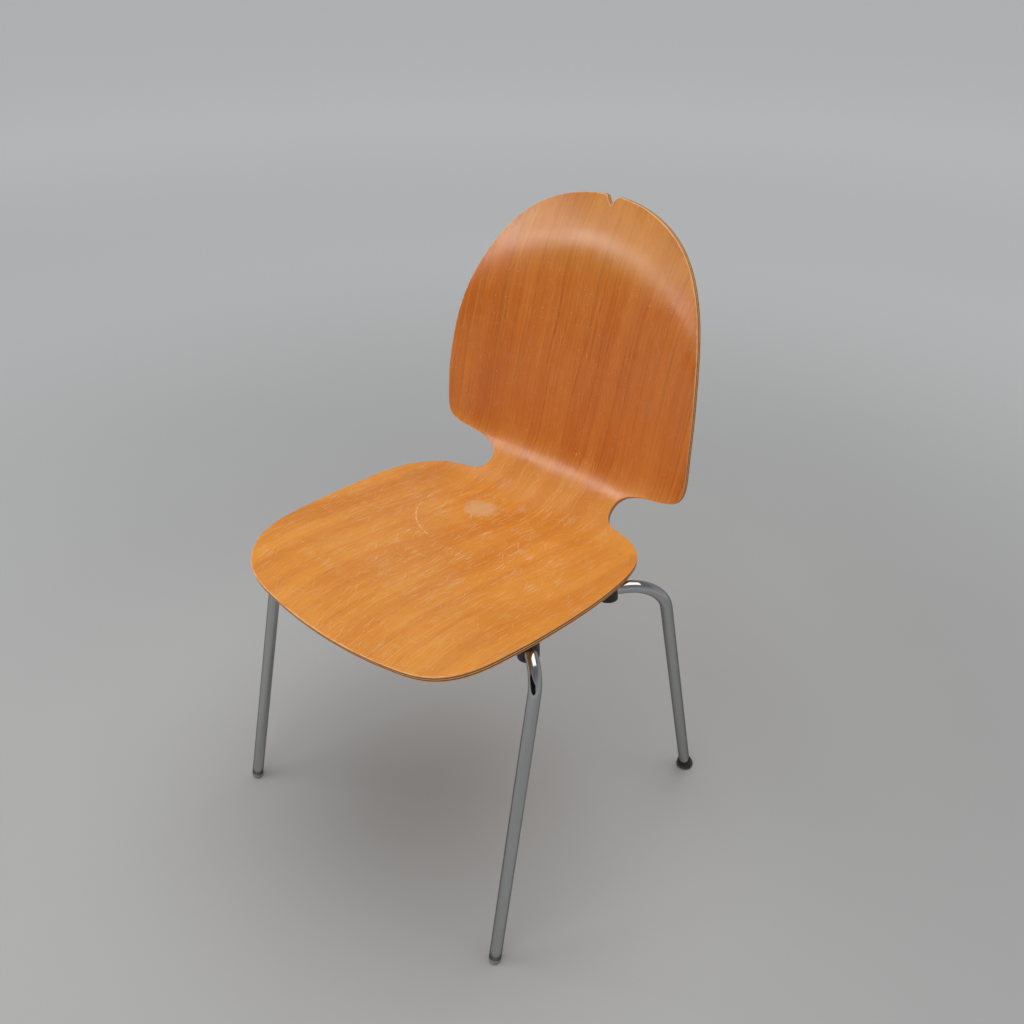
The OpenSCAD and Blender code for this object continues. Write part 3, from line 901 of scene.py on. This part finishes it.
# Stations over which the wood turns from the seat's tone to the back's and to the head's: the seat
# and the head are painted lighter, as painted light, and the back darker, as painted shade
BACK_STARTS = (425, 500)
HEAD_STARTS = (705, 775)
# Bald spots on the seat as [across, station, radius, share]
BALD_SPOTS = [(-50, 334, 22, 1), (-8, 372, 7, 0.7)]
# The part of a ring mark that shows: its middle, its radius, and how it fades out
RING_PLACE = (-40, 312)
RING_R = 83
RING_FADE_X = (-48, -58)
RING_FADE_S = (334, 322)
# The middle of the part that is sat on, and how far from it the wear reaches
SAT_ON_PLACE = (0, 270)
SAT_ON_REACH = (50, 230)
# Stations over which the arris is rubbed more and more, in front and on the head
FRONT_RUBBED = (60, 15)
HEAD_RUBBED = (560, 640)
# How far the grain leans across the shell, per length along it
GRAIN_LEAN = 0.10
EDGE_LIGHT = (0.90, 0.41, 0.12)
EDGE_DARK = (0.10, 0.034, 0.012)
EDGE_GRIME = (0.34, 0.12, 0.04)
PLIES = 5
BIRCH_LIGHT = (0.70, 0.53, 0.34)
BIRCH_DARK = (0.55, 0.38, 0.22)
BIRCH_END = (0.30, 0.18, 0.09)
# The thickness of two veneers of the block, in metres
BIRCH_PAIR = 0.0026
# How far the block falls toward the back, per length
BIRCH_TILT = 0.086


def scratch_layer(n, x, s, degrees, long, wide, seed, amount):
    """Thin broken scratches at one angle to the grain. Sizes are in millimetres."""
    c, d = math.cos(math.radians(degrees)), math.sin(math.radians(degrees))
    along = n.total(n.product(x, d), n.product(s, c))
    across = n.math("SUBTRACT", n.product(x, c), n.product(s, d))
    bend = n.product(n.stretched(x, s, 60, 60, seed), SCRATCH_BEND)
    marks = n.stretched(n.total(across, bend), along, wide, long, seed, detail=0)
    return n.span(marks, 1 - amount, 1 - amount + 0.04)


def veneer():
    """Clear lacquered wood veneer with a straight grain along the shell, worn on the seat."""
    n = Nodes("veneer", IOR=1.48)
    x, s, depth = n.split(n.attribute("sheet_mm").outputs["Vector"])
    rim_share = n.attribute("rim").outputs["Fac"]
    edge = n.attribute("edge_mm").outputs["Fac"]

    wander = n.stretched(x, s, 110, 300)
    grain_x = n.total(x, n.product(wander, 26))
    grain_x = n.math("SUBTRACT", grain_x, n.product(s, GRAIN_LEAN))

    def grain(wide, long, seed, **settings):
        return n.stretched(grain_x, s, wide, long, seed, **settings)

    upper = n.span(depth, -1.5, -0.5)
    on_back = n.span(s, *BACK_STARTS)
    on_seat = n.math("SUBTRACT", 1, on_back)
    figure = grain(30, 700, 1)
    streaks = grain(4.2, 480, 2, detail=3)
    lines = grain(1.7, 200, 3, detail=3, roughness=0.6)
    strength = grain(22, 160, 7)
    vessels = n.span(grain(0.75, 22, 4), 0.55, 0.68)
    flecks = n.span(grain(1.1, 9, 6), 0.62, 0.72)
    clouds = n.stretched(x, s, 70, 90, 5)

    # Painted light and shade: the same veneer is painted lighter on the seat, which faces the
    # light, and darker and redder on the back
    colour = n.mix(on_back, SEAT_HONEY_LIT, BACK_AMBER_SHADED)
    # Painted light: the head, whose rim rolls back to face the light, is painted lighter and more
    # golden on its upper face
    head_lit = n.product(n.span(s, *HEAD_STARTS), upper)
    colour = n.mix(head_lit, colour, HEAD_GOLD_LIT)
    dark = n.product(n.span(streaks, 0.48, 0.70), n.span(on_back, 0, 1, 0.10, 0.40))
    colour = n.mix(dark, colour, DARK_GRAIN)
    strength = n.product(n.span(strength, 0.35, 0.65, 0.45, 1.1),
                         n.span(on_back, 0, 1, 0.65, 1))
    lined = n.product(n.span(lines, 0.30, 0.70, -0.16, 0.14), strength)
    tone = n.total(lined, 1, n.span(figure, 0.3, 0.7, -0.09, 0.09),
                   n.span(clouds, 0.3, 0.7, -0.05, 0.05))
    tone = n.math("SUBTRACT", tone, n.product(vessels, 0.15))
    tint = n.vector(n.math("POWER", tone, 0.6), n.math("POWER", tone, 1.2),
                    n.math("POWER", tone, 1.6))
    colour = n.mix(1, colour, tint, blend="MULTIPLY")
    flecks = n.product(flecks, n.span(on_seat, 0, 1, 0.07, 0.22))
    colour = n.mix(flecks, colour, SCRATCH_PALE)
    dots = n.stretched(x, s, 2.6, 3.6, 17, detail=0)
    colour = n.mix(n.span(dots, 0.81, 0.85, 0, 0.6), colour, SCRATCH_PALE)

    worn, scratched = seat_wear(n, x, s, on_seat, on_back)
    worn = n.product(worn, upper)
    scratched = n.product(scratched, upper)
    colour = n.mix(n.product(worn, 0.6), colour, RAW_WOOD)
    colour = n.mix(n.product(scratched, 0.75), colour, SCRATCH_PALE)

    rubbed = edge_wear(n, x, s, edge)
    colour = n.mix(n.product(rubbed, 0.75), colour, SCRATCH_PALE)
    colour = n.mix(n.span(rim_share, 0.55, 0.95), colour, ply_edge(n, x, s, depth))

    rough = n.total(n.span(clouds, 0.3, 0.7, 0.22, 0.30), n.product(worn, 0.22),
                    n.product(scratched, 0.15))
    rough = n.math("ADD", rough, n.product(rim_share, 0.25), clamp=True)
    relief = n.math("SUBTRACT", n.product(lines, 0.5), n.product(vessels, 0.5))
    relief = n.math("SUBTRACT", relief, n.product(scratched, 0.7))
    return n.use(Base_Color=colour, Roughness=rough, Normal=n.bump(relief, 0.00012, 0.5))


def seat_wear(n, x, s, on_seat, on_back):
    """Bald places and scratches: (worn, scratched), each from 0 to 1."""
    place = n.vector(x, s, 0)
    ragged = n.product(n.stretched(x, s, 11, 15, 8, detail=5, roughness=0.7), 44)

    def distance(cx, cy):
        return n.add("VectorMath", {0: place, 1: (cx, cy, 0)}, operation="DISTANCE").outputs[1]

    def spot(cx, cy, radius, share):
        inside = n.span(n.total(distance(cx, cy), ragged), radius + 27, radius + 15)
        return n.product(inside, share)

    bald = n.math("MAXIMUM", *[spot(*numbers) for numbers in BALD_SPOTS])
    sat_on = n.span(distance(*SAT_ON_PLACE), *SAT_ON_REACH, 1, 0)
    haze = n.stretched(x, s, 30, 60, 11, detail=3)
    haze = n.product(n.span(haze, 0.42, 0.66), 0.04)
    worn = n.math("MAXIMUM", bald, n.product(haze, sat_on))

    cluster = n.span(n.stretched(x, s, 38, 38, 14), 0.38, 0.58)
    marks = scratch_layer(n, x, s, *SCRATCHES[0])
    for layer in SCRATCHES[1:]:
        marks = n.math("MAXIMUM", marks, scratch_layer(n, x, s, *layer))
    busy = n.total(n.product(cluster, sat_on, 0.6), n.product(on_seat, 0.35))
    busy = n.math("ADD", busy, n.product(on_back, 0.14), clamp=True)
    scratched = n.product(marks, busy)

    ring = n.math("ABSOLUTE", n.math("SUBTRACT", distance(*RING_PLACE), RING_R))
    ring = n.product(n.span(ring, 1.2, 0.5), n.span(x, *RING_FADE_X), n.span(s, *RING_FADE_S),
                     n.span(ragged, 18, 25))
    return worn, n.math("MAXIMUM", scratched, ring)


def edge_wear(n, x, s, edge):
    """Where the lacquer has rubbed off along the arris, mostly in front and on the head."""
    spots = n.stretched(x, s, 7, 7, 31, detail=3)
    band = n.span(n.total(edge, n.product(spots, 5)), 4.2, 2.4)
    front = n.span(s, *FRONT_RUBBED)
    head = n.span(s, *HEAD_RUBBED, 0, 0.7)
    where = n.math("MAXIMUM", n.math("MAXIMUM", front, head), 0.25)
    return n.product(band, where)


def ply_edge(n, x, s, depth):
    """The veneers seen at the rim: long grain is light, end grain and glue are dark."""
    waves = n.math("SINE", n.product(depth, -math.pi * PLIES / PLY))
    fine = n.stretched(x, s, 2, 2, 41, detail=3)
    dark = n.span(n.math("SUBTRACT", n.product(fine, 0.6), waves), 0.1, 0.8)
    colour = n.mix(dark, EDGE_LIGHT, EDGE_DARK)
    return n.mix(n.span(fine, 0.45, 0.75, 0, 0.35), colour, EDGE_GRIME)


def birch():
    """Unfinished birch plywood, its veneers seen at the sides."""
    n = Nodes("birch", Roughness=0.7)
    x, y, z = n.split(n.object_place())
    level = n.total(z, n.product(y, BIRCH_TILT))
    layers = n.math("SINE", n.product(level, 2 * math.pi / BIRCH_PAIR))
    fine = n.noise(n.vector(n.product(x, 80), n.product(y, 900), z), detail=3)
    normal = n.split(n.add("NewGeometry", {}).outputs["Normal"])[2]
    side = n.span(n.math("ABSOLUTE", normal), 0.7, 0.5)
    colour = n.mix(n.span(fine, 0.3, 0.7), BIRCH_DARK, BIRCH_LIGHT)
    colour = n.mix(n.product(side, n.span(layers, 0, 0.8)), colour, BIRCH_END)
    return n.use(Base_Color=colour, Normal=n.bump(fine, 0.0002, 0.4))


# ---- Metal and plastic ----

CHROME = (0.48, 0.485, 0.49)
CHROME_TINT = (0.35, 0.35, 0.36)
CHROME_DULL = (0.40, 0.40, 0.39)
CHROME_PIT = (0.16, 0.13, 0.11)
STEEL_SPECK = (0.10, 0.08, 0.07)
PLAIN_STEEL = [(0.42, 0.42, 0.42), (0.30, 0.29, 0.28)]
ZINC = [(0.62, 0.64, 0.66), (0.50, 0.51, 0.50)]
# Plastics and rubber as [colour, dust]
BLACK_PLASTIC = [(0.012, 0.012, 0.013), (0.05, 0.05, 0.05)]
GREY_PLASTIC = [(0.27, 0.275, 0.275), (0.34, 0.335, 0.32)]
BLACK_RUBBER = [(0.014, 0.014, 0.015), (0.16, 0.155, 0.15)]


def chrome():
    """Bright chrome plate with fine handling scratches and a dull bloom near the floor."""
    n = Nodes("chrome", Metallic=1, Specular_Tint=CHROME_TINT)
    c, d, run = n.split(n.attribute("tube_place").outputs["Vector"])
    smear = n.vector(n.product(c, 1.2), n.product(d, 1.2), n.math("DIVIDE", run, 28))
    smear = n.noise(smear, detail=4)
    fine = n.noise(n.vector(n.product(c, 26), n.product(d, 26), n.math("DIVIDE", run, 9)))
    scratches = n.span(fine, 0.66, 0.74)
    place = n.object_place()
    height = n.split(place)[2]
    low = n.span(height, 0.10, 0)
    pits = n.span(n.noise(place, scale=900), 0.70, 0.76)
    pits = n.product(pits, n.span(height, 0.14, 0, 0.1, 1))
    rough = n.total(n.span(smear, 0.35, 0.75, 0.05, 0.13), n.product(scratches, 0.12),
                    n.product(low, 0.08))
    colour = n.mix(n.span(smear, 0.4, 0.8, 0, 0.25), CHROME, CHROME_DULL)
    colour = n.mix(n.product(pits, 0.6), colour, CHROME_PIT)
    return n.use(Base_Color=colour, Roughness=rough, Normal=n.bump(scratches, -0.00002, 0.3))


def steel(name, light, dark, scale):
    """Dull steel or zinc plate: blotches and a few dark specks."""
    n = Nodes(name, Metallic=1)
    place = n.object_place()
    blotch = n.noise(place, scale=scale, detail=4)
    speck = n.span(n.noise(place, scale=scale * 14), 0.62, 0.75)
    colour = n.mix(n.span(blotch, 0.35, 0.65), light, dark)
    colour = n.mix(n.product(speck, 0.5), colour, STEEL_SPECK)
    rough = n.total(n.span(blotch, 0.3, 0.7, 0.28, 0.5), n.product(speck, 0.2))
    return n.use(Base_Color=colour, Roughness=rough, Normal=n.bump(blotch, 0.0001, 0.3))


def moulded(name, colour, dust, rough, dust_height=0):
    """Moulded plastic or rubber: a fine spark texture, scuffs, and dust near the floor."""
    n = Nodes(name, IOR=1.5)
    place = n.object_place()
    grain = n.noise(place, scale=2600)
    scuffs = n.span(n.noise(place, scale=240, detail=5, roughness=0.65), 0.52, 0.70)
    height = n.split(place)[2]
    dusty = n.product(scuffs, 0.45)
    if dust_height:
        dusty = n.math("ADD", dusty, n.span(height, dust_height, 0, 0, 0.45), clamp=True)
    shade = n.mix(dusty, colour, dust)
    roughness = n.total(n.product(scuffs, 0.15), rough)
    return n.use(Base_Color=shade, Roughness=roughness, Normal=n.bump(grain, 0.00005, 0.4))


# ---- Studio ----

CAMERA_PLACE = (0.7656, -0.8329, 1.180)
CAMERA_TURN = 40.32
CAMERA_DOWN = 32.62
CAMERA_LENS = 35.8
SENSOR_W = 36
WORLD_STRENGTH = 0.46
ZENITH = (0.42, 0.43, 0.45)
HORIZON = (0.85, 0.87, 0.90)
CARD_Y = -3.2
CARD_SPAN = ((-3, 4), (0.02, 1.9))
FLOOR_HALF = 30
FLOOR_GAP = 0.0005
# The floor's colour near the chair, and its paler colour far off, which is painted light
FLOOR_NEAR = (0.53, 0.53, 0.52)
FLOOR_FAR = (0.90, 0.90, 0.89)
FLOOR_CLOUD = (0.40, 0.40, 0.39)
# Light that the far floor gives off, as a lit studio sweep would
FLOOR_GLOW = (0.20, 0.20, 0.20)


def camera():
    data = bpy.data.cameras.new("camera")
    data.lens = CAMERA_LENS
    data.sensor_width = SENSOR_W
    item = linked("camera", data)
    item.location = CAMERA_PLACE
    item.rotation_euler = (math.radians(90 - CAMERA_DOWN), 0, math.radians(CAMERA_TURN))
    bpy.context.scene.camera = item


def softbox(name, place, target, size, power, mirrored_in_gloss=True):
    data = bpy.data.lights.new(name, "AREA")
    data.shape = "RECTANGLE"
    data.size, data.size_y = size
    data.energy = power
    item = linked(name, data)
    item.location = place
    item.rotation_euler = (Vector(target) - Vector(place)).to_track_quat("-Z", "Y").to_euler()
    item.visible_camera = False
    item.visible_glossy = mirrored_in_gloss


def quad(name, corners, material):
    mesh = bpy.data.meshes.new(name)
    mesh.from_pydata(corners, [], [(0, 1, 2, 3)])
    mesh.materials.append(material)
    return linked(name, mesh)


def floor():
    """A pale floor, far wider than any view of the chair, which is not there seen from below."""
    n = Nodes("floor", Roughness=0.6)
    place = n.object_place()
    cloud = n.noise(place, scale=1.3, detail=5)
    speck = n.noise(place, scale=160)
    away = n.add("VectorMath", {0: place}, operation="LENGTH").outputs[1]
    # Painted light: the floor is painted paler from 0.7 m to 2.6 m away from the chair, to make up
    # for the lamps falling off there
    shade = n.mix(n.span(away, 0.7, 2.6), FLOOR_NEAR, FLOOR_FAR)
    cloudy = n.product(n.span(cloud, 0.3, 0.7, 0, 0.12), n.span(away, 2, 0.7))
    shade = n.mix(cloudy, shade, FLOOR_CLOUD)
    glow = n.mix(n.span(away, 1.2, 5), (0, 0, 0), FLOOR_GLOW)
    n.use(Base_Color=shade, Emission_Color=glow, Emission_Strength=1,
          Normal=n.bump(speck, 0.0002, 0.2))
    n.clear_behind()
    corners = [(x * FLOOR_HALF, y * FLOOR_HALF, 0) for x, y in CORNER_SIGNS]
    item = quad("floor", corners, n.material)
    item.location = (0, 0, -FLOOR_GAP)


def surroundings():
    """Soft light from all round, a little brighter at the height of the chair than above."""
    world = bpy.data.worlds.new("studio")
    bpy.context.scene.world = world
    world.use_nodes = True
    n = Tree(world.node_tree)
    height = n.split(n.add("TexCoord", {}).outputs["Generated"])[2]
    colour = n.mix(n.span(height, 0.15, 0.75), HORIZON, ZENITH)
    output = n.add("OutputWorld", {})
    background = n.add("Background", {"Color": colour, "Strength": WORLD_STRENGTH})
    n.tree.links.new(background.outputs[0], output.inputs[0])


def dark_card():
    """A black card in front of the chair, which only reflections show: it deepens the chrome."""
    n = Nodes("card", Base_Color=(0.01, 0.01, 0.01), Roughness=1)
    (left, right), (low, high) = CARD_SPAN
    corners = [(x, CARD_Y, z) for x, z in ((left, low), (right, low), (right, high), (left, high))]
    item = quad("card", corners, n.material)
    item.visible_camera = False
    item.visible_diffuse = False
    item.visible_shadow = False


def lights():
    softbox("window", place=(-1.03, -1, 1.37), target=(0, 0.15, 0.62), size=(1, 0.22),
            power=6)
    softbox("overhead", place=(0.2, 0.3, 2.9), target=(0, 0, 0.4), size=(2.6, 2.6), power=40)
    softbox("fill", place=(0.5, -2.6, 1.7), target=(0, 0, 0.5), size=(2.4, 1.8), power=12,
            mirrored_in_gloss=False)


# ---- The chair ----

camera()
floor()
surroundings()
dark_card()
lights()
bpy.context.scene.view_settings.view_transform = "Standard"

shell()

chrome_plate = chrome()
bow_tube("front_bow", "frame_tube_front", bow(*front_arm, PLUG_H), FRONT_KNEE_R, chrome_plate)
bow_tube("rear_bow", "frame_tube_rear", bow(*rear_arm, BOOT_LIFT), REAR_KNEE_R, chrome_plate)

black = moulded("black_plastic", *BLACK_PLASTIC, rough=0.38)
sides = (("left", np.array), ("right", mirrored))
for side, turn in sides:
    pad("pad_front_" + side, *map(turn, front_arm), FRONT_KNEE_R, FRONT_PAD_WAY, black)
    pad("pad_rear_" + side, *map(turn, rear_arm), REAR_KNEE_R, REAR_PAD_WAY, black)

grey = moulded("grey_plastic", *GREY_PLASTIC, rough=0.4, dust_height=0.006)
dark_rubber = moulded("black_rubber", *BLACK_RUBBER, rough=0.5, dust_height=0.007)
for side, turn in sides:
    plug("plug_" + side, *map(turn, front_arm[:2]), grey)
    boot("boot_" + side, *map(turn, rear_arm[:2]), dark_rubber)

plain_steel = steel("plain_steel", *PLAIN_STEEL, scale=60)
zinc_plate = steel("zinc_plate", *ZINC, scale=220)
mounting_block(birch())
seat_plate(plain_steel)
weld_beads(plain_steel)
screws(zinc_plate)
washers(zinc_plate)
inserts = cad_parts["threaded_inserts"]
inserts.data.materials.clear()
inserts.data.materials.append(zinc_plate)
